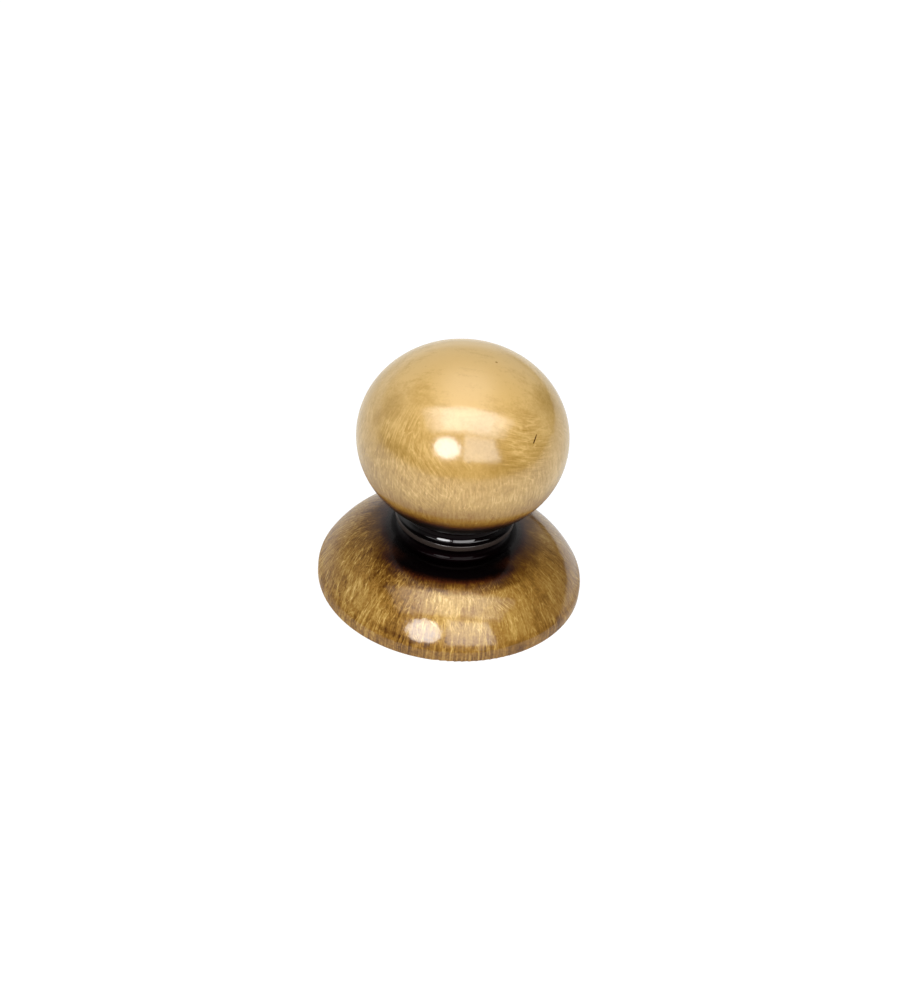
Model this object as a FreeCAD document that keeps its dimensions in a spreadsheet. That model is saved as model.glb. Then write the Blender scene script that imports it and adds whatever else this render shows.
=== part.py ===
import FreeCAD, Part
import math
import os

import Sketcher
from FreeCAD import Vector

# Cabinet knob: a flattened ball on a short collared neck and a domed foot, cast and turned in one piece.
# Millimetres. +Z runs along the knob from the door to the ball, and the origin is the middle of its back.

SIZES = [
    # Foot
    ("foot_diameter", 38.0, "outer diameter of the foot"),
    ("edge_height", 1.5, "upright edge of the foot, before it is rounded"),
    ("edge_rounding", 1.4, "radius between the upright edge and the dome"),
    ("back_break", 0.3, "small radius on the edge that meets the door"),
    ("dome_height", 9.4, "highest point of the dome above the back"),
    ("dome_curve", 14.5, "radius of the dome's section"),
    # Boss, collar and neck
    ("boss_diameter", 15.6, "short boss between dome and collar"),
    ("boss_height", 1.68, "from the top of the dome to the underside of the collar"),
    ("boss_rounding", 1.0, "hollow radius between boss and dome"),
    ("collar_diameter", 17.0, "thin collar under the ball"),
    ("collar_thickness", 0.8, "height of the collar's upright band"),
    ("collar_break", 0.12, "small radius on both edges of the collar"),
    ("cove_height", 2.41, "height of the cove's mouth, between collar and ball"),
    ("cove_depth", 0.92, "how far the cove is turned in behind the collar's side"),
    ("neck_lap", 0.12, "how far the top of the cove runs into the ball"),
    ("neck_rounding", 0.6, "hollow radius where the cove meets the ball"),
    # Ball
    ("ball_diameter", 29.4, "widest diameter of the ball"),
    ("ball_height", 25.7, "height of the flattened ball"),
    # Back
    ("rim_width", 2.6, "flat ring that beds on the door"),
    ("back_boss_diameter", 13.0, "land round the screw hole, level with the rim"),
    ("recess_depth", 2.5, "hollow between rim and land"),
    ("recess_rounding", 0.8, "radius in the corners of the hollow"),
    # Screw hole
    ("thread_depth", 13.0, "depth of the tapped hole"),
    ("countersink_diameter", 4.8, "mouth of the tapped hole"),
]
THREAD = "M4x0.7"
CLOSE = 0.01

doc = FreeCAD.newDocument("cabinet_knob")

# Driving dimensions
sheet = doc.addObject("Spreadsheet::Sheet", "sizes")
for row, (alias, value, note) in enumerate(SIZES, start=1):
    sheet.set("A%d" % row, note)
    sheet.set("B%d" % row, str(value))
    sheet.setAlias("B%d" % row, alias)
doc.recompute()


def size(alias):
    return float(sheet.get(alias))


# Heights that follow from the sizes, as expressions for the sketches
COLLAR_BASE = "(sizes.dome_height + sizes.boss_height)"
COLLAR_TOP = "(%s + sizes.collar_thickness)" % COLLAR_BASE
BALL_SINK = "(sizes.ball_height / 2 * sqrt(1 - pow(sizes.collar_diameter / sizes.ball_diameter; 2)))"
BALL_CENTRE = "(%s + sizes.cove_height - sizes.neck_lap + %s)" % (COLLAR_TOP, BALL_SINK)
STEM_FOOT = "(sizes.dome_height / 2)"
COVE_RADIUS = "((pow(sizes.cove_height / 2; 2) + pow(sizes.cove_depth; 2)) / (2 * sizes.cove_depth))"

collar_base = size("dome_height") + size("boss_height")
collar_top = collar_base + size("collar_thickness")
collar_share = size("collar_diameter") / size("ball_diameter")
ball_sink = size("ball_height") / 2 * math.sqrt(1 - collar_share ** 2)
ball_centre = collar_top + size("cove_height") - size("neck_lap") + ball_sink
stem_foot = size("dome_height") / 2
cove_depth = size("cove_depth")
cove_radius = ((size("cove_height") / 2) ** 2 + cove_depth ** 2) / (2 * cove_depth)


def add_body(label):
    body = doc.addObject("PartDesign::Body", label)
    body.Label = label
    return body


def origin_plane(body, role):
    return next(item for item in body.Origin.OriginFeatures if item.Role == role)


def add_sketch(body, name, role, turned=False):
    sketch = body.newObject("Sketcher::SketchObject", name)
    sketch.AttachmentSupport = [(origin_plane(body, role), "")]
    sketch.MapMode = "FlatFace"
    sketch.MapReversed = turned
    return sketch


def bind(sketch, kind, where, expression, value):
    index = sketch.addConstraint(Sketcher.Constraint(kind, *where, value))
    sketch.setExpression("Constraints[%d]" % index, expression)


def place(sketch, geometry, end, across=None, up=None):
    # Puts one end of a line or arc at a radius and a height, each a pair of expression and value.
    if across:
        bind(sketch, "DistanceX", (-1, 1, geometry, end), *across)
    if up:
        bind(sketch, "DistanceY", (-1, 1, geometry, end), *up)


def straight_outline(sketch, corners):
    # Draws a closed outline of upright and level lines; corner n is the start of line n.
    count = len(corners)
    points = [Vector(across[1], up[1], 0) for across, up in corners]
    for n in range(count):
        sketch.addGeometry(Part.LineSegment(points[n], points[(n + 1) % count]), False)
    for n in range(count):
        sketch.addConstraint(Sketcher.Constraint("Coincident", n, 2, (n + 1) % count, 1))
        upright = abs(points[n].x - points[(n + 1) % count].x) < 1e-9
        sketch.addConstraint(Sketcher.Constraint("Vertical" if upright else "Horizontal", n))


def revolve(body, kind, name, sketch):
    feature = body.newObject(kind, name)
    feature.Profile = sketch
    feature.ReferenceAxis = (sketch, ["V_Axis"])
    feature.Angle = 360
    sketch.Visibility = False
    doc.recompute()
    return feature


def radius_pair(alias):
    return ("sizes.%s / 2" % alias, size(alias) / 2)


def length_pair(alias):
    return ("sizes.%s" % alias, size(alias))


knob = add_body("knob")

# Foot: a flat back, an upright edge and a dome whose arc ends level
foot_sketch = add_sketch(knob, "foot_section", "XZ_Plane")
foot_radius = size("foot_diameter") / 2
arc_middle_up = size("dome_height") - size("dome_curve")
arc_reach = math.sqrt(size("dome_curve") ** 2 - (size("edge_height") - arc_middle_up) ** 2)
arc_middle = Vector(foot_radius - arc_reach, arc_middle_up, 0)
arc_start = math.atan2(size("edge_height") - arc_middle_up, arc_reach)
corner_back = Vector(foot_radius, 0, 0)
corner_edge = Vector(foot_radius, size("edge_height"), 0)
dome_crest = Vector(arc_middle.x, size("dome_height"), 0)
dome_axis = Vector(0, size("dome_height"), 0)
dome_circle = Part.Circle(arc_middle, Vector(0, 0, 1), size("dome_curve"))
foot_sketch.addGeometry(Part.LineSegment(Vector(0, 0, 0), corner_back), False)
foot_sketch.addGeometry(Part.LineSegment(corner_back, corner_edge), False)
foot_sketch.addGeometry(Part.ArcOfCircle(dome_circle, arc_start, math.pi / 2), False)
foot_sketch.addGeometry(Part.LineSegment(dome_crest, dome_axis), False)
foot_sketch.addGeometry(Part.LineSegment(dome_axis, Vector(0, 0, 0)), False)
for rule in [
    ("Coincident", 0, 1, -1, 1),
    ("Coincident", 0, 2, 1, 1),
    ("Coincident", 1, 2, 2, 1),
    ("Tangent", 2, 2, 3, 1),
    ("Coincident", 3, 2, 4, 1),
    ("Coincident", 4, 2, 0, 1),
    ("Horizontal", 0),
    ("Vertical", 1),
    ("Horizontal", 3),
    ("Vertical", 4),
]:
    foot_sketch.addConstraint(Sketcher.Constraint(*rule))
place(foot_sketch, 1, 2, across=radius_pair("foot_diameter"), up=length_pair("edge_height"))
place(foot_sketch, 3, 2, up=length_pair("dome_height"))
bind(foot_sketch, "Radius", (2,), "sizes.dome_curve", size("dome_curve"))
foot = revolve(knob, "PartDesign::Revolution", "foot", foot_sketch)

# Stem: boss and collar, a stepped post that starts inside the foot and ends inside the ball
stem_sketch = add_sketch(knob, "stem_section", "XZ_Plane")
axis_pair = ("0", 0.0)
boss_side = radius_pair("boss_diameter")
collar_side = radius_pair("collar_diameter")
stem_foot_up = (STEM_FOOT, stem_foot)
collar_base_up = (COLLAR_BASE, collar_base)
ball_centre_up = (BALL_CENTRE, ball_centre)
straight_outline(stem_sketch, [
    (axis_pair, stem_foot_up),
    (boss_side, stem_foot_up),
    (boss_side, collar_base_up),
    (collar_side, collar_base_up),
    (collar_side, ball_centre_up),
    (axis_pair, ball_centre_up),
])
stem_sketch.addConstraint(Sketcher.Constraint("PointOnObject", 0, 1, -2))
place(stem_sketch, 1, 1, across=boss_side, up=stem_foot_up)
place(stem_sketch, 3, 1, across=collar_side, up=collar_base_up)
place(stem_sketch, 4, 2, up=ball_centre_up)
stem = revolve(knob, "PartDesign::Revolution", "stem", stem_sketch)

# Neck: a round cove turned into the post, from the collar's upper edge to the ball
cove_sketch = add_sketch(knob, "cove_section", "XZ_Plane")
neck_radius = collar_side[1] - cove_depth
cove_across = ("%s - sizes.cove_depth + %s" % (collar_side[0], COVE_RADIUS), neck_radius + cove_radius)
cove_up = ("%s + sizes.cove_height / 2" % COLLAR_TOP, collar_top + size("cove_height") / 2)
cove_middle = Vector(cove_across[1], cove_up[1], 0)
cove_sketch.addGeometry(Part.Circle(cove_middle, Vector(0, 0, 1), cove_radius), False)
place(cove_sketch, 0, 3, across=cove_across, up=cove_up)
bind(cove_sketch, "Radius", (0,), COVE_RADIUS, cove_radius)
neck_cove = revolve(knob, "PartDesign::Groove", "neck_cove", cove_sketch)

# Ball: half an ellipse turned about the axis. An ellipse names its longer axis first, which lies
# level on a flattened ball and stands upright on a tall one.
ball_sketch = add_sketch(knob, "ball_section", "XZ_Plane")
ball_middle = Vector(0, ball_centre, 0)
ball_side = Vector(size("ball_diameter") / 2, ball_centre, 0)
ball_top = Vector(0, ball_centre + size("ball_height") / 2, 0)
ball_foot = Vector(0, ball_centre - size("ball_height") / 2, 0)
if size("ball_diameter") > size("ball_height"):
    axis_sizes = ("ball_diameter", "ball_height")
    ball_ellipse = Part.Ellipse(ball_side, ball_top, ball_middle)
    ball_arc = Part.ArcOfEllipse(ball_ellipse, -math.pi / 2, math.pi / 2)
    long_axis_lies = "Horizontal"
else:
    axis_sizes = ("ball_height", "ball_diameter")
    ball_ellipse = Part.Ellipse(ball_top, ball_side, ball_middle)
    ball_arc = Part.ArcOfEllipse(ball_ellipse, -math.pi, 0)
    long_axis_lies = "Vertical"
ball_sketch.addGeometry(ball_arc, False)
ball_sketch.addGeometry(Part.LineSegment(ball_top, ball_foot), False)
long_axis = ball_sketch.GeometryCount
short_axis = long_axis + 1
ball_sketch.exposeInternalGeometry(0)
for rule in [
    ("PointOnObject", 0, 3, -2),
    ("PointOnObject", 0, 1, -2),
    ("PointOnObject", 0, 2, -2),
    ("Coincident", 0, 2, 1, 1),
    ("Coincident", 0, 1, 1, 2),
    (long_axis_lies, long_axis),
]:
    ball_sketch.addConstraint(Sketcher.Constraint(*rule))
place(ball_sketch, 0, 3, up=ball_centre_up)
for axis_line, alias in zip((long_axis, short_axis), axis_sizes):
    bind(ball_sketch, "Distance", (axis_line,), "sizes.%s" % alias, size(alias))
ball = revolve(knob, "PartDesign::Revolution", "ball", ball_sketch)

# Back: a hollow ring between the flat rim and the land round the screw hole
recess_sketch = add_sketch(knob, "recess_section", "XZ_Plane")
land_side = radius_pair("back_boss_diameter")
rim_side = ("sizes.foot_diameter / 2 - sizes.rim_width", foot_radius - size("rim_width"))
level_pair = ("0", 0.0)
recess_floor = length_pair("recess_depth")
straight_outline(recess_sketch, [
    (land_side, level_pair),
    (rim_side, level_pair),
    (rim_side, recess_floor),
    (land_side, recess_floor),
])
recess_sketch.addConstraint(Sketcher.Constraint("PointOnObject", 0, 1, -1))
place(recess_sketch, 0, 1, across=land_side)
place(recess_sketch, 2, 1, across=rim_side, up=recess_floor)
recess = revolve(knob, "PartDesign::Groove", "back_recess", recess_sketch)


def ring_edges(shape, radii, heights):
    # Names of the level round edges between two radii and two heights.
    names = []
    for n, edge in enumerate(shape.Edges, start=1):
        box = edge.BoundBox
        level = heights[0] < box.ZMin and box.ZMax < heights[1] and box.ZLength < CLOSE
        if level and radii[0] < box.XMax < radii[1]:
            names.append("Edge%d" % n)
    return names


def near(value):
    return (value - CLOSE, value + CLOSE)


def round_edges(body, name, places, expression):
    base = body.Tip
    names = []
    for radii, heights in places:
        found = ring_edges(base.Shape, radii, heights)
        if not found:
            raise ValueError("%s: no edge between %s and %s" % (name, radii, heights))
        names += found
    fillet = body.newObject("PartDesign::Fillet", name)
    fillet.Base = (base, names)
    fillet.setExpression("Radius", expression)
    doc.recompute()
    return fillet


def dome_height_at(radius):
    if radius <= arc_middle.x:
        return size("dome_height")
    return arc_middle.y + math.sqrt(size("dome_curve") ** 2 - (radius - arc_middle.x) ** 2)


# Rounded edges and hollows
boss_foot = (near(boss_side[1]), near(dome_height_at(boss_side[1])))
round_edges(knob, "boss_hollow", [boss_foot], "sizes.boss_rounding")
cove_end = ((neck_radius, collar_side[1]), (cove_up[1], ball_centre))
round_edges(knob, "neck_hollow", [cove_end], "sizes.neck_rounding")
collar_edges = [(near(collar_side[1]), near(level)) for level in (collar_base, collar_top)]
round_edges(knob, "collar_edges", collar_edges, "sizes.collar_break")
foot_corner = (near(foot_radius), near(size("edge_height")))
round_edges(knob, "foot_edge", [foot_corner], "sizes.edge_rounding")
back_corner = (near(foot_radius), near(0))
round_edges(knob, "back_edge", [back_corner], "sizes.back_break")
recess_corners = [(near(side), near(size("recess_depth"))) for side in (land_side[1], rim_side[1])]
round_edges(knob, "recess_corners", recess_corners, "sizes.recess_rounding")

# Screw hole: tapped from the back, its wall drawn at the tap drill's size
hole_sketch = add_sketch(knob, "hole_centre", "XY_Plane", turned=True)
mouth_radius = size("countersink_diameter") / 2
hole_sketch.addGeometry(Part.Circle(Vector(0, 0, 0), Vector(0, 0, 1), mouth_radius), False)
hole_sketch.addConstraint(Sketcher.Constraint("Coincident", 0, 3, -1, 1))
bind(hole_sketch, "Diameter", (0,), "sizes.countersink_diameter", size("countersink_diameter"))
doc.recompute()
solid_volume = knob.Tip.Shape.Volume
hole = knob.newObject("PartDesign::Hole", "screw_hole")
hole.Profile = hole_sketch
doc.recompute()
hole.ThreadType = "ISOMetricProfile"
hole.ThreadSize = THREAD
hole.Threaded = True
hole.ModelThread = False
hole.DepthType = "Dimension"
hole.setExpression("Depth", "sizes.thread_depth")
hole.DrillPoint = "Angled"
hole.HoleCutType = "Countersink"
hole.HoleCutCustomValues = True
hole.setExpression("HoleCutDiameter", "sizes.countersink_diameter")
hole.HoleCutCountersinkAngle = 90
hole_sketch.Visibility = False
doc.recompute()
wall_volume = math.pi * (hole.Diameter.Value / 2) ** 2 * size("thread_depth")
cut_volume = solid_volume - knob.Tip.Shape.Volume
if not wall_volume <= cut_volume < 2 * wall_volume:
    raise ValueError("the screw hole cut %.1f cubic mm" % cut_volume)

# Checks, then one file for each piece
for item in doc.Objects:
    if "Invalid" in item.State or "Error" in item.State:
        raise ValueError("%s failed: %s" % (item.Name, item.State))
os.makedirs("parts", exist_ok=True)
for body in [knob]:
    shape = body.Shape
    if shape.isNull() or not shape.isValid() or len(shape.Solids) != 1:
        raise ValueError("%s is not one valid solid" % body.Label)
    path = "parts/%s.step" % body.Label
    shape.exportStep(path)
    if abs(Part.read(path).Volume / shape.Volume - 1) > CLOSE:
        raise ValueError("%s doesn't hold the solid that was written" % path)
    print(body.Label, "volume %.1f" % shape.Volume, "height %.2f" % shape.BoundBox.ZMax)
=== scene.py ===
import math

import bmesh
import bpy
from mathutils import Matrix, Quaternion, Vector


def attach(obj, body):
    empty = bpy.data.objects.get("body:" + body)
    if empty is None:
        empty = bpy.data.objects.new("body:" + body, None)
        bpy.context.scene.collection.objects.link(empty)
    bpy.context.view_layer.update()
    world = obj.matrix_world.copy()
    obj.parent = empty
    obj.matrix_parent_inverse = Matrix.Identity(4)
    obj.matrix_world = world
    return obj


KNOB_NODE = "knob"

# In metres: the floor lies a hair under the knob, so that the two faces never mix
FLOOR = -0.00003
FLOOR_REACH = 2.0

# Heights and radii on the knob, in millimetres
BALL_FROM = 13.8
PATINA_ON_BALL = 19.3
PATINA_ON_FOOT = 10.0
GRIP_RADIUS = 14.7

# The tapped hole, in millimetres: its wall, the thread's seat in it and relief from it, and where the thread runs
HOLE_RADIUS = 1.65
THREAD_SEAT = 0.02
THREAD_RELIEF = 0.14
THREAD_PITCH = 0.7
THREAD_FROM, THREAD_TO = 1.1, 12.4


class Net:
    """Adds nodes to one node tree and joins them."""

    def __init__(self, tree):
        self.tree = tree

    def add(self, kind, values=None, **settings):
        node = self.tree.nodes.new(kind)
        for name, value in settings.items():
            setattr(node, name, value)
        for name, value in (values or {}).items():
            self.feed(node.inputs[name], value)
        return node

    def feed(self, socket, value):
        if isinstance(value, bpy.types.NodeSocket):
            self.tree.links.new(value, socket)
        else:
            socket.default_value = value

    def calc(self, operation, a, b=0.0, clamp=False):
        node = self.add("ShaderNodeMath", {0: a, 1: b}, operation=operation, use_clamp=clamp)
        return node.outputs[0]

    def times(self, a, b):
        return self.calc("MULTIPLY", a, b)

    def plus(self, a, b):
        return self.calc("ADD", a, b)

    def fade(self, value, start, end, low=0.0, high=1.0):
        """A smooth step from low at start to high at end."""
        falling = start > end
        values = {
            "Value": value,
            "From Min": min(start, end),
            "From Max": max(start, end),
            "To Min": high if falling else low,
            "To Max": low if falling else high,
        }
        return self.add("ShaderNodeMapRange", values, interpolation_type="SMOOTHSTEP").outputs["Result"]

    def point(self, x, y, z):
        return self.add("ShaderNodeCombineXYZ", {"X": x, "Y": y, "Z": z}).outputs["Vector"]

    def stretch(self, vector, scale, offset=(0.0, 0.0, 0.0), turn=(0.0, 0.0, 0.0)):
        values = {"Vector": vector, "Location": offset, "Rotation": turn, "Scale": scale}
        return self.add("ShaderNodeMapping", values).outputs["Vector"]

    def noise(self, vector, scale, detail=3.0, roughness=0.5):
        values = {"Vector": vector, "Scale": scale, "Detail": detail, "Roughness": roughness}
        return self.add("ShaderNodeTexNoise", values, normalize=True).outputs["Fac"]

    def pick(self, share, a, b):
        """A number that goes from a to b as share goes from 0 to 1."""
        return self.add("ShaderNodeMix", {0: share, 2: a, 3: b}, data_type="FLOAT").outputs[0]

    def blend(self, factor, a, b):
        """A colour that goes from a to b as factor goes from 0 to 1."""
        node = self.add("ShaderNodeMix", data_type="RGBA", clamp_factor=True)
        self.feed(node.inputs[0], factor)
        self.feed(node.inputs[6], a)
        self.feed(node.inputs[7], b)
        return node.outputs[2]


def colour(red, green, blue):
    return (red, green, blue, 1.0)


def new_material(name):
    material = bpy.data.materials.new(name)
    material.use_nodes = True
    material.node_tree.nodes.clear()
    return material, Net(material.node_tree)


class KnobSpace:
    """Coordinates that follow the knob: millimetres, radius, height and the way round."""

    def __init__(self, net):
        self.net = net
        source = net.add("ShaderNodeTexCoord").outputs["Object"]
        scaled = net.add("ShaderNodeVectorMath", {0: source, "Scale": 1000.0}, operation="SCALE")
        self.place = scaled.outputs["Vector"]
        parts = net.add("ShaderNodeSeparateXYZ", {0: self.place})
        self.x, self.y, self.z = parts.outputs
        flat = net.point(self.x, self.y, 0.0)
        self.radius = net.add("ShaderNodeVectorMath", {0: flat}, operation="LENGTH").outputs["Value"]
        unit = net.add("ShaderNodeVectorMath", {0: flat}, operation="NORMALIZE").outputs["Vector"]
        self.round = net.add(
            "ShaderNodeVectorMath", {0: unit, "Scale": GRIP_RADIUS}, operation="SCALE"
        ).outputs["Vector"]
        self.on_ball = net.fade(self.z, BALL_FROM - 0.5, BALL_FROM + 0.5)
        on_foot = net.calc("SUBTRACT", 1.0, self.on_ball)
        self.along = net.plus(net.times(self.z, self.on_ball), net.times(self.radius, on_foot))

    def strokes(self, lean, spacing, length, seed, detail=2.0):
        """Fine strokes up the ball and out along the foot, from 0 dark to 1 light. Lean turns them aside."""
        net = self.net
        slant = math.hypot(1.0, lean)
        angle = net.times(self.along, lean / GRIP_RADIUS)
        turned = net.add(
            "ShaderNodeVectorRotate", {"Vector": self.round, "Angle": angle}, rotation_type="Z_AXIS"
        ).outputs["Vector"]
        across = 1.0 / (spacing * slant)
        wide = net.stretch(turned, (across, across, across))
        lift = net.point(0.0, 0.0, net.plus(net.times(self.along, slant / length), seed))
        spot = net.add("ShaderNodeVectorMath", {0: wide, 1: lift}, operation="ADD").outputs["Vector"]
        return net.noise(spot, 1.0, detail, 0.6)

    def hairs(self, lean, spacing, length, seed, width=0.05):
        """Thin single lines that lie the way strokes do, from 0 between them to 1 on them."""
        away = self.net.calc("ABSOLUTE", self.net.plus(self.strokes(lean, spacing, length, seed, 0.5), -0.5))
        broken = self.net.fade(self.cloud((0.45, 0.45, 0.45), seed + 5.0, 2.0), 0.36, 0.56)
        return self.net.times(self.net.fade(away, width, width * 0.2), broken)

    def scratch(self, start, end, half_width):
        """1 on a straight scratch between two points, in millimetres, and 0 off it."""
        net = self.net
        start, end = Vector(start), Vector(end)
        middle, way = (start + end) / 2, (end - start).normalized()
        from_middle = net.add("ShaderNodeVectorMath", {0: self.place, 1: middle}, operation="SUBTRACT")
        along = net.add("ShaderNodeVectorMath", {0: from_middle.outputs[0], 1: way}, operation="DOT_PRODUCT")
        level = net.add(
            "ShaderNodeVectorMath", {0: tuple(way), "Scale": along.outputs["Value"]}, operation="SCALE"
        )
        aside = net.add(
            "ShaderNodeVectorMath", {0: from_middle.outputs[0], 1: level.outputs[0]}, operation="DISTANCE"
        )
        half = (end - start).length / 2
        within = net.fade(net.calc("ABSOLUTE", along.outputs["Value"]), half, half * 0.7)
        return net.times(within, net.fade(aside.outputs["Value"], half_width, half_width * 0.4))

    def cloud(self, scale, seed, detail=3.0):
        return self.net.noise(self.net.stretch(self.place, scale, (seed, 0.0, 0.0)), 1.0, detail, 0.6)

    def near(self, spot, inner, outer):
        """1 within inner of the spot, falling to 0 at outer."""
        away = self.net.add("ShaderNodeVectorMath", {0: self.place, 1: spot}, operation="DISTANCE")
        return self.net.fade(away.outputs["Value"], outer, inner)


def swing(net, value, gain, share=1.0):
    """How far a pattern is above or below its middle, times gain."""
    return net.times(net.times(net.plus(value, -0.5), gain), share)


def total(net, *values):
    result = values[0]
    for value in values[1:]:
        result = net.plus(result, value)
    return result


def most(net, *values):
    result = values[0]
    for value in values[1:]:
        result = net.calc("MAXIMUM", result, value)
    return result


def ball_tone(net, space):
    """How bright the ball's metal is, with soft smudges above and fine scratches below, a painted lighter top and
    painted shade on its lower half.
    """
    upper = net.fade(space.z, 31.5, 36.5)
    lower = net.fade(space.z, 33.0, 29.0)
    turned = space.cloud((0.22, 0.22, 0.22), 40.0)
    left = most(net, space.near((-8.0, -10.5, 30.5), 2.0, 6.0), net.times(net.fade(turned, 0.58, 0.68), lower))
    slanted = most(net, space.near((-4.5, -13.0, 26.5), 3.0, 6.5), net.times(net.fade(turned, 0.44, 0.34), lower))
    level = most(net, space.near((8.5, -9.5, 30.8), 2.0, 6.5), net.times(net.fade(turned, 0.66, 0.74), lower))
    low = net.fade(space.z, 30.0, 26.0)
    steep = net.times(space.hairs(0.2, 0.50, 2.2, 11.0), net.times(left, 0.17))
    diagonal = net.times(space.hairs(1.1, 0.60, 3.5, 23.0), net.times(slanted, 0.09))
    flat = net.times(space.hairs(3.2, 0.60, 3.5, 37.0), net.times(level, 0.12))
    upright = net.times(space.hairs(0.1, 0.50, 2.0, 51.0), net.times(low, 0.10))
    grain_left = swing(net, space.strokes(0.2, 0.34, 1.8, 71.0), 0.42, left)
    grain_slanted = swing(net, space.strokes(1.1, 0.34, 2.2, 79.0), 0.40, slanted)
    grain_level = swing(net, space.strokes(3.2, 0.30, 2.6, 91.0), 0.52, level)
    grain_low = swing(net, space.strokes(0.0, 0.32, 1.4, 97.0), 0.52, low)
    speckle = swing(net, space.cloud((2.6, 2.6, 2.6), 61.0, 1.0), 0.16)
    smudge = swing(net, space.cloud((0.14, 1.0, 1.6), 3.0, 4.0), 0.36, upper)
    patch = swing(net, space.cloud((0.14, 0.18, 0.22), 9.0), 0.34)
    olive = most(net, space.near((5.9, -12.7, 28.5), 0.5, 4.0), space.near((-11.6, -6.0, 30.5), 0.3, 1.6))
    lines = total(net, steep, diagonal, flat, upright)
    grain = total(net, grain_left, grain_slanted, grain_level, grain_low, speckle)
    # The upper term and the small lift at the very top make the ball's top lighter: painted light from the lamps
    # above.
    body = total(net, 0.84, net.times(upper, 0.17), net.fade(space.z, 36.2, 37.3, 0.0, 0.03))
    tone = total(net, body, lines, grain, smudge, patch, net.times(olive, -0.12), ball_spots(net, space))
    # Below 25 mm the tone falls to two thirds: painted shade on the ball's lower half, where it faces the foot.
    return net.times(tone, net.fade(space.z, 20.4, 25.0, 0.66, 1.0)), net.plus(lines, grain)


def ball_spots(net, space):
    """The darker and brighter rubbed places on the ball."""
    dark = most(
        net,
        net.times(space.near((-9.7, -6.3, 32.6), 0.5, 2.8), 0.12),
        net.times(space.near((-10.1, -9.8, 28.5), 0.6, 3.4), 0.17),
        net.times(space.near((10.7, -2.0, 33.3), 0.5, 3.2), 0.13),
        net.times(space.near((9.0, -10.0, 26.8), 1.0, 4.5), 0.05),
        net.times(space.near((-9.5, -9.0, 25.5), 2.0, 5.5), 0.08),
        net.times(space.near((-8.0, -11.2, 29.0), 0.3, 1.6), 0.16),
    )
    light = most(
        net,
        net.times(space.near((-8.9, -9.4, 30.7), 0.4, 2.2), 0.11),
        net.times(space.near((10.8, -6.4, 31.4), 0.4, 2.8), 0.11),
        net.times(space.near((6.0, -9.0, 33.4), 0.4, 2.4), 0.08),
        net.times(space.scratch((-5.3, -8.6, 34.0), (-3.9, -9.2, 34.2), 0.12), 0.12),
    )
    return net.plus(light, net.times(dark, -1.0))


def foot_tone(net, space):
    """How bright the foot's metal is, with dense short strokes that run outward, less a painted darker ring and
    the painted rim reflection and shade at the front.
    """
    turned = space.cloud((0.25, 0.25, 0.25), 70.0)
    left = most(net, space.near((-14.0, -7.0, 5.0), 4.0, 8.0), net.fade(turned, 0.60, 0.66))
    slanted = most(net, space.near((6.0, -11.5, 7.6), 1.0, 4.0), net.fade(turned, 0.40, 0.34))
    straight = net.calc("SUBTRACT", 1.0, net.times(most(net, left, slanted), 0.7))
    crossing = net.times(space.hairs(-0.9, 0.50, 3.0, 17.0, 0.04), net.times(left, 0.26))
    diagonal = net.times(space.hairs(1.1, 0.55, 3.0, 29.0, 0.04), net.times(slanted, 0.24))
    outward = net.times(space.hairs(0.12, 0.50, 2.8, 5.0, 0.04), net.times(straight, 0.22))
    second = net.times(space.hairs(-0.35, 0.50, 2.2, 13.0, 0.04), 0.16)
    grain_left = swing(net, space.strokes(-0.9, 0.34, 2.0, 63.0), 0.62, left)
    grain_out = swing(net, space.strokes(0.0, 0.32, 1.7, 67.0), 0.60, straight)
    speckle = swing(net, space.cloud((2.8, 2.8, 2.8), 31.0, 1.0), 0.34)
    broad = swing(net, space.strokes(0.1, 1.1, 5.0, 83.0), 0.26)
    patch = swing(net, space.cloud((0.25, 0.25, 0.25), 15.0), 0.46)
    strength = net.fade(space.x, 12.0, 0.0, 0.65, 1.0)
    lines = net.times(total(net, crossing, diagonal, outward, second), strength)
    grain = net.times(total(net, grain_left, grain_out, speckle), strength)
    # A darker ring at 13.1 to 13.8 mm, only at the front: painted reflection of the ball's dark underside in the
    # foot.
    olive = net.times(net.fade(space.radius, 13.8, 13.1), net.fade(space.y, -7.0, -10.0))
    # A real dull place and the painted reflection and shade are taken off the tone together.
    dull_and_painted_shade = most(net, net.times(olive, 0.22), net.times(space.near((-8.6, -10.2, 7.3), 1.5, 4.5), 0.17))
    dull_and_painted_shade = net.plus(dull_and_painted_shade, painted_rim_reflection_and_shade(net, space))
    worn = net.times(space.near((2.0, -15.0, 6.0), 3.0, 9.0), net.fade(space.radius, 18.3, 17.3, 0.06, 0.18))
    worn = net.plus(worn, net.times(space.near((11.0, 1.5, 8.4), 1.0, 5.0), 0.15))
    worn = net.plus(worn, net.times(space.near((-12.5, -13.2, 3.6), 2.5, 6.0), 0.11))
    worn = net.plus(worn, net.times(space.near((10.3, -13.6, 4.2), 1.0, 4.0), 0.09))
    return total(net, 0.50, lines, grain, broad, patch, worn, net.times(dull_and_painted_shade, -1.0)), net.plus(lines, grain)


def painted_rim_reflection_and_shade(net, space):
    """Painted dark reflection where the dome meets the rounded edge, most of all at the front left, and painted
    shade on the rounded edge below it.
    """
    aside = net.calc("ABSOLUTE", net.plus(space.radius, net.plus(-18.70, net.times(space.x, -0.04))))
    # The thin line is a painted reflection of the dark part of the room below the lamps.
    line = net.times(net.fade(aside, 0.34, 0.06), net.fade(space.z, 3.8, 3.3))
    front = net.fade(space.y, -2.0, -9.0)
    line = net.times(line, net.times(net.fade(space.x, 4.0, -7.0, 0.06, 0.17), front))
    line = net.times(line, net.fade(space.x, -8.0, -13.0, 1.0, 0.5))
    # The band on the front of the rounded edge is painted shade.
    band = net.times(net.fade(space.radius, 18.3, 18.7), net.fade(space.y, 2.0, -9.0))
    return most(net, line, net.times(band, 0.08))


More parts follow.
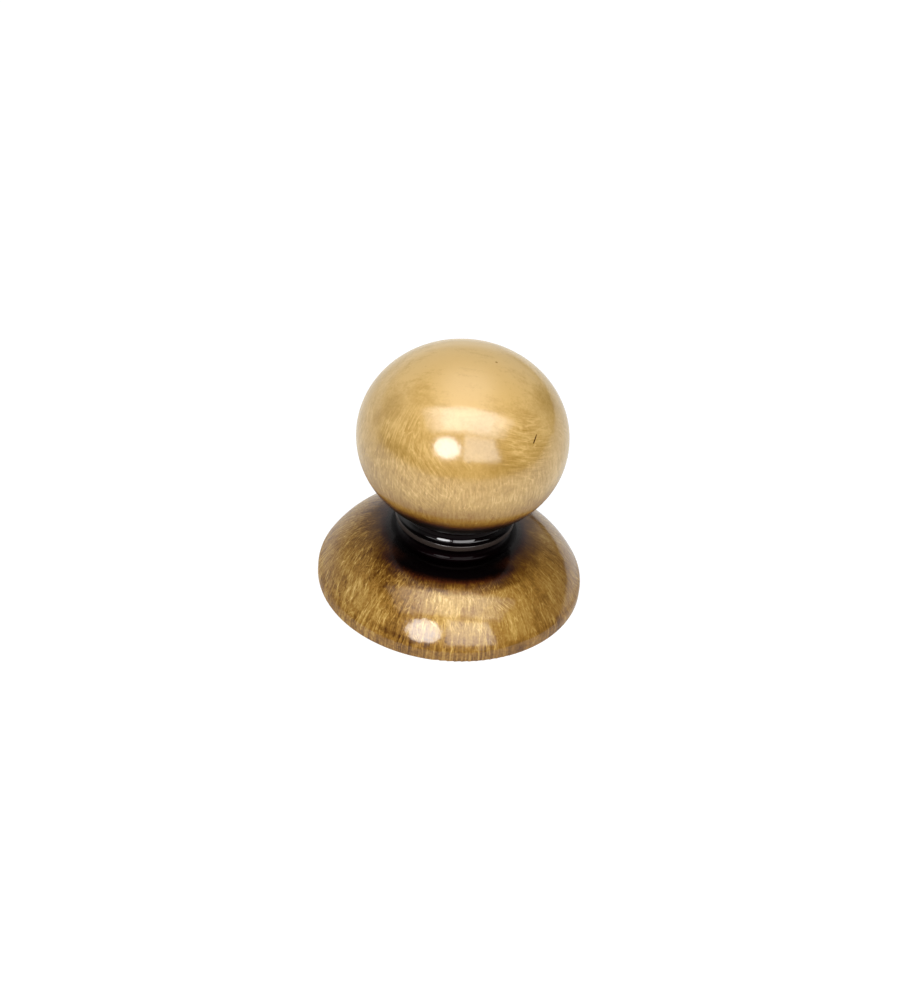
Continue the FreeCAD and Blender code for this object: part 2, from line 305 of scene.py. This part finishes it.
def metal_colour(net, tone):
    """From black patina through umber and olive to bright brass."""
    ramp = net.add("ShaderNodeValToRGB", {"Fac": tone})
    stops = [
        (0.00, colour(0.003, 0.0008, 0.0012)),
        (0.12, colour(0.066, 0.015, 0.004)),
        (0.32, colour(0.204, 0.088, 0.010)),
        (0.52, colour(0.408, 0.224, 0.042)),
        (0.75, colour(0.600, 0.408, 0.118)),
        (0.86, colour(0.690, 0.494, 0.176)),
        (1.00, colour(0.800, 0.605, 0.270)),
    ]
    elements = ramp.color_ramp.elements
    while len(elements) < len(stops):
        elements.new(0.5)
    for element, (position, shade) in zip(elements, stops):
        element.position = position
        element.color = shade
    return ramp.outputs["Color"]


def brass_material():
    """Antique brass: worn bright metal, black patina and plain turned metal, all under clear lacquer. Its colour
    also holds painted light: a lighter top and a shaded lower half on the ball, and a painted reflection with
    painted shade at the front of the foot.
    """
    material, net = new_material("antique_brass")
    space = KnobSpace(net)
    ball, ball_strokes = ball_tone(net, space)
    foot, foot_strokes = foot_tone(net, space)
    wander = swing(net, space.cloud((0.5, 0.5, 0.5), 27.0), 1.9)
    height = net.plus(space.z, net.times(wander, 0.5))
    # The reach shrinks towards the front, so the black reaches further out there: painted reflection of the
    # ball's dark underside and painted shade under the ball, on top of the real patina round the neck.
    reach = total(net, space.radius, wander, net.fade(space.y, -6.0, -10.0, 0.0, -1.5))
    ball_clean = net.fade(height, PATINA_ON_BALL - 1.8, PATINA_ON_BALL + 1.3)
    foot_clean_and_unshaded = net.fade(reach, PATINA_ON_FOOT - 3.0, PATINA_ON_FOOT + 5.6)
    near_reach = net.plus(space.radius, net.times(wander, 0.35))
    # At the front the black gets a sharp edge near 9.2 to 10 mm and then reaches out to 11 to 13.4 mm: painted
    # reflection of the dark neck and ball underside, and painted shade beneath the ball.
    painted_reflection_edge = net.pick(net.fade(space.y, -3.0, -5.5), 1.0, net.fade(near_reach, 9.2, 10.0))
    front_clear_of_painted_reflection = net.fade(near_reach, PATINA_ON_FOOT + 1.0, PATINA_ON_FOOT + 3.4)
    foot_clean_and_unshaded = net.pick(net.fade(space.y, -5.5, -9.0), net.times(foot_clean_and_unshaded, painted_reflection_edge), front_clear_of_painted_reflection)
    foot_clean_and_unshaded = net.times(foot_clean_and_unshaded, net.fade(space.z, 9.2, 8.6))
    # The mask is 1 where the metal is clean and unshaded, and 0 under patina and under the painted reflection and
    # shade at the front of the foot.
    clean_and_unshaded = net.pick(space.on_ball, foot_clean_and_unshaded, ball_clean)
    tone = net.times(net.pick(space.on_ball, foot, ball), clean_and_unshaded)
    tone = net.times(tone, net.calc("SUBTRACT", 1.0, knocks(net, space)))
    strokes = net.times(net.pick(space.on_ball, foot_strokes, ball_strokes), clean_and_unshaded)
    normal = net.add("ShaderNodeNewGeometry").outputs["Normal"]
    faces_up = net.add("ShaderNodeSeparateXYZ", {0: normal}).outputs[2]
    raw, raw_tone, turning = raw_back(net, space, faces_up)
    tone = net.pick(raw, tone, raw_tone)
    strokes = net.pick(raw, strokes, turning)
    on_collar = net.times(net.fade(space.radius, 8.30, 8.42), net.fade(space.z, 10.9, 11.05))
    on_collar = net.times(on_collar, net.fade(space.z, 12.1, 11.95))
    tint = net.blend(on_collar, metal_colour(net, tone), colour(0.048, 0.036, 0.031))
    neck = net.times(net.fade(space.radius, 9.2, 8.8), net.fade(space.z, 8.9, 9.3))
    neck = net.times(neck, net.fade(space.z, 15.0, 14.0))
    foot_coat = net.pick(net.fade(space.y, -6.0, 4.0), net.fade(space.radius, 15.6, 17.0, 0.34, 0.60), 0.76)
    foot_coat = net.times(foot_coat, net.fade(space.radius, 18.1, 18.7, 1.0, 0.65))
    foot_coat = net.times(foot_coat, net.fade(space.x, -10.0, -14.5, 1.0, 0.65))
    ball_coat = net.fade(space.z, 18.0, 25.0, 0.10, 0.82)
    neck_coat = net.times(net.fade(faces_up, 0.25, 0.60, 0.05, 0.75), net.fade(space.z, 10.6, 11.0, 0.06, 1.0))
    coat = net.pick(neck, net.pick(space.on_ball, foot_coat, ball_coat), neck_coat)
    coat = net.pick(raw, coat, 0.12)
    coat_rough = net.pick(neck, net.pick(space.on_ball, 0.13, 0.16), 0.04)
    rough = total(net, net.pick(space.on_ball, 0.82, 0.88), net.times(wander, 0.05), net.times(strokes, -0.10))
    rough = net.pick(net.fade(clean_and_unshaded, 0.15, 0.7), 0.45, rough)
    rough = net.pick(raw, rough, 0.52)
    brushed = net.times(space.strokes(0.15, 0.36, 1.8, 57.0), 0.6)
    ripple = net.times(space.cloud((0.9, 0.9, 0.9), 53.0, 1.0), 1.8)
    relief = {"Strength": 0.22, "Distance": 0.00004, "Height": net.plus(brushed, ripple)}
    bump = net.add("ShaderNodeBump", relief)
    values = {
        "Base Color": tint,
        "Metallic": 1.0,
        "Roughness": rough,
        "Normal": bump.outputs["Normal"],
        "Coat Weight": coat,
        "Coat Roughness": coat_rough,
        "Coat IOR": 1.95,
        "Coat Normal": bump.outputs["Normal"],
    }
    shader = net.add("ShaderNodeBsdfPrincipled", values)
    net.add("ShaderNodeOutputMaterial", {"Surface": shader.outputs[0]})
    return material


def raw_back(net, space, faces_up):
    """Where the plain turned metal of the back and the hole shows, its tone, and its turning marks."""
    under = net.times(net.fade(faces_up, -0.35, -0.75), net.fade(space.z, 3.4, 2.9))
    in_hole = net.times(net.fade(space.radius, 2.5, 2.3), net.fade(space.z, 14.8, 14.3))
    marks = net.noise(net.point(net.times(space.radius, 3.4), 0.0, 0.0), 1.0, 3.0, 0.7)
    tone = total(net, 0.50, swing(net, marks, 0.40), swing(net, space.cloud((0.3, 0.3, 0.3), 33.0), 0.34))
    hollow = net.times(net.fade(space.radius, 18.05, 17.95), net.fade(space.z, 3.0, 2.7))
    return most(net, under, in_hole, hollow), tone, swing(net, marks, 0.6)


def knocks(net, space):
    """The small dark nick and the dot on the ball."""
    nick = space.scratch((9.75, -7.75, 31.62), (9.36, -9.05, 30.72), 0.14)
    return most(net, net.times(nick, 0.85), net.times(space.near((3.5, 0.0, 37.2), 0.05, 0.30), 0.5))


def floor_material():
    """White to the camera, lit and shaded for everything else, and clear from below. In reflections it also
    glows, and that glow and its colour fall off towards the front: painted light falloff.
    """
    material, net = new_material("pale_floor")
    path = net.add("ShaderNodeLightPath").outputs
    mirrored = net.calc("MAXIMUM", path["Is Glossy Ray"], path["Is Transmission Ray"])
    place = net.add("ShaderNodeTexCoord").outputs["Object"]
    depth = net.add("ShaderNodeSeparateXYZ", {0: place}).outputs[1]
    away = net.add("ShaderNodeVectorMath", {0: place}, operation="LENGTH").outputs["Value"]
    # Painted light falloff: what reflections see of the floor dims towards the front, away from the knob.
    edge = net.fade(depth, -0.10, 0.20, 0.22, 0.95)
    shown = net.fade(away, 0.25, 0.60, 0.9, 1.0)
    level = net.pick(net.fade(away, 0.05, 0.40), 1.0, edge)
    glow_share = net.plus(net.times(path["Is Camera Ray"], shown), net.times(net.times(mirrored, 0.52), level))
    cloth_share = net.pick(path["Is Camera Ray"], net.times(level, 0.42), 0.2)
    cloth_share = net.pick(net.calc("MAXIMUM", path["Is Camera Ray"], mirrored), 0.85, cloth_share)
    cloth = net.add("ShaderNodeBsdfDiffuse", {"Color": net.point(cloth_share, cloth_share, cloth_share)})
    glow = net.add("ShaderNodeEmission", {"Color": colour(1.0, 1.0, 1.0), "Strength": glow_share})
    both = net.add("ShaderNodeAddShader", {0: cloth.outputs[0], 1: glow.outputs[0]})
    beneath = net.add("ShaderNodeNewGeometry").outputs["Backfacing"]
    clear = net.add("ShaderNodeBsdfTransparent")
    surface = net.add("ShaderNodeMixShader", {0: beneath, 1: both.outputs[0], 2: clear.outputs[0]})
    net.add("ShaderNodeOutputMaterial", {"Surface": surface.outputs[0]})
    return material


def build_world():
    """A dim room with a paler wall and ceiling behind and a dark gap along the back of the table."""
    world = bpy.data.worlds.new("studio")
    world.use_nodes = True
    world.node_tree.nodes.clear()
    net = Net(world.node_tree)
    direction = net.add("ShaderNodeTexCoord").outputs["Generated"]
    right, back, up = net.add("ShaderNodeSeparateXYZ", {0: direction}).outputs
    wall = net.times(net.fade(back, -0.35, 0.35, 0.08, 0.38), net.fade(up, 0.50, 0.76, 1.0, 0.10))
    wall = net.times(wall, net.fade(right, 0.35, 0.72, 1.0, 0.20))
    foot_of_wall = net.times(net.fade(up, 0.30, 0.0, 0.0, 0.50), net.fade(back, 0.0, 0.6))
    wall = net.plus(wall, net.times(foot_of_wall, net.fade(right, 0.30, 0.05)))
    aside = net.calc("ABSOLUTE", right)
    ceiling = net.times(net.fade(up, 0.55, 0.98, 0.0, 1.1), net.fade(aside, 0.60, 0.10))
    room = net.plus(wall, net.times(ceiling, net.fade(back, -0.22, 0.05)))
    gap = net.times(net.fade(up, -0.02, 0.0), net.fade(up, 0.11, 0.08))
    gap = net.times(gap, net.times(net.fade(right, 0.15, 0.3), net.fade(back, 0.5, 0.65)))
    room = net.pick(gap, room, 0.02)
    camera_ray = net.add("ShaderNodeLightPath").outputs["Is Camera Ray"]
    shown = net.pick(camera_ray, room, 1.0)
    background = net.add("ShaderNodeBackground", {"Color": colour(1.0, 1.0, 1.0), "Strength": shown})
    net.add("ShaderNodeOutputWorld", {"Surface": background.outputs[0]})
    bpy.context.scene.world = world


def area_lamp(name, centre, facing, size, radiance, shape="RECTANGLE"):
    """An area lamp with a set brightness per area, whatever its size."""
    lamp = bpy.data.lights.new(name, "AREA")
    lamp.shape = shape
    lamp.size = size[0]
    lamp.size_y = size[-1]
    area = size[0] * size[-1] * (math.pi / 4 if shape == "DISK" else 1.0)
    lamp.energy = radiance * math.pi * area
    lamp_object = bpy.data.objects.new(name, lamp)
    bpy.context.collection.objects.link(lamp_object)
    lamp_object.location = centre
    lamp_object.rotation_mode = "QUATERNION"
    lamp_object.rotation_quaternion = Vector(facing).to_track_quat("-Z", "Y")
    lamp_object.visible_camera = False
    return lamp_object


def toward(elevation, azimuth):
    """Unit direction from the knob. Azimuth 0 is the front, 90 is the right."""
    up, turn = math.radians(elevation), math.radians(azimuth)
    return Vector((math.cos(up) * math.sin(turn), -math.cos(up) * math.cos(turn), math.sin(up)))


def build_lamps():
    """Three nested overhead lamps, brightest where all three overlap, then a window and a spot in front."""
    height = 0.60
    middle = Vector((0.0, 0.0, 0.02))
    for name, left, right, front, back, lift in (
        ("overhead_wide", -0.82, 1.05, -0.76, -0.11, 0.010),
        ("overhead_middle", -0.60, 0.80, -0.71, -0.15, 0.005),
        ("overhead_inner", -0.38, 0.55, -0.66, -0.18, 0.0),
    ):
        centre = ((left + right) / 2 * height, (front + back) / 2 * height, height + lift)
        area_lamp(name, centre, (0, 0, -1), ((right - left) * height, (back - front) * height), 1.45)
    window_distance = 0.60
    area_lamp(
        "window",
        (0.5 * window_distance, -window_distance, 0.82 * window_distance),
        (0, 1, 0),
        (0.9 * window_distance, 0.85 * window_distance),
        3.1,
    )
    spot = toward(32.0, -17.0)
    reach = 0.60
    diameter = 2 * reach * math.tan(math.radians(12.8))
    area_lamp("spot", middle + spot * reach, -spot, (diameter, diameter), 8.8, shape="DISK")


def build_thread():
    """The ridge of the screw thread, wound up the wall of the hole."""
    steps = 48
    root = HOLE_RADIUS + THREAD_SEAT
    count = round((THREAD_TO - THREAD_FROM) / THREAD_PITCH * steps)
    points, faces = [], []
    for index in range(count + 1):
        turn = 2 * math.pi * index / steps
        height = THREAD_FROM + THREAD_PITCH * index / steps
        grown = min(1.0, index / (steps / 3), (count - index) / (steps / 3))
        crest = root - (THREAD_RELIEF + THREAD_SEAT) * grown
        for radius, lift in ((root, -0.28), (crest, -0.06), (crest, 0.06), (root, 0.28)):
            along = height + lift * max(grown, 0.2)
            points.append((radius * math.cos(turn) / 1000, radius * math.sin(turn) / 1000, along / 1000))
    for index in range(count):
        near, far = 4 * index, 4 * index + 4
        for a, b in ((0, 1), (1, 2), (2, 3), (3, 0)):
            faces.append((near + a, near + b, far + b, far + a))
    faces.append((0, 1, 2, 3))
    faces.append(tuple(4 * count + corner for corner in (3, 2, 1, 0)))
    mesh = bpy.data.meshes.new("screw_thread")
    mesh.from_pydata(points, [], faces)
    shape = bmesh.new()
    shape.from_mesh(mesh)
    bmesh.ops.recalc_face_normals(shape, faces=shape.faces)
    shape.to_mesh(mesh)
    shape.free()
    thread = bpy.data.objects.new("screw_thread", mesh)
    bpy.context.collection.objects.link(thread)
    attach(thread, "root")
    return thread


def build_floor():
    """A wide floor, as stage."""
    mesh = bpy.data.meshes.new("floor")
    signs = ((-1, -1), (1, -1), (1, 1), (-1, 1))
    corners = [(FLOOR_REACH * right, FLOOR_REACH * back, FLOOR) for right, back in signs]
    mesh.from_pydata(corners, [], [(0, 1, 2, 3)])
    floor = bpy.data.objects.new("floor", mesh)
    bpy.context.collection.objects.link(floor)
    mesh.materials.append(floor_material())


def build_camera():
    """The photo's view: from the front and above, with a slight roll."""
    data = bpy.data.cameras.new("camera")
    data.lens = 68.43
    data.sensor_width = 36.0
    camera = bpy.data.objects.new("camera", data)
    bpy.context.collection.objects.link(camera)
    camera.location = (0.0, -0.21546, 0.17309)
    look = Vector((-0.0009, 0.0, 0.01357)) - camera.location
    roll = Quaternion((0, 0, 1), math.radians(5.617))
    camera.rotation_mode = "QUATERNION"
    camera.rotation_quaternion = look.to_track_quat("-Z", "Y") @ roll
    bpy.context.scene.camera = camera


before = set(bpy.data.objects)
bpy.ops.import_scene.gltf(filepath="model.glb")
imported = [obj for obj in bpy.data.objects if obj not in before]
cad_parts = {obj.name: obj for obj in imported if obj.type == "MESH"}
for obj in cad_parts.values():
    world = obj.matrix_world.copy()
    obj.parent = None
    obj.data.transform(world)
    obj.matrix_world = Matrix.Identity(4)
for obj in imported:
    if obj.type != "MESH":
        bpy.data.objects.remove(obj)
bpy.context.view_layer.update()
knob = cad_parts[KNOB_NODE]
brass = brass_material()
for slot in knob.material_slots:
    slot.material = brass
build_thread().data.materials.append(brass)

build_floor()
build_world()
build_lamps()
build_camera()
bpy.context.scene.view_settings.view_transform = "Standard"
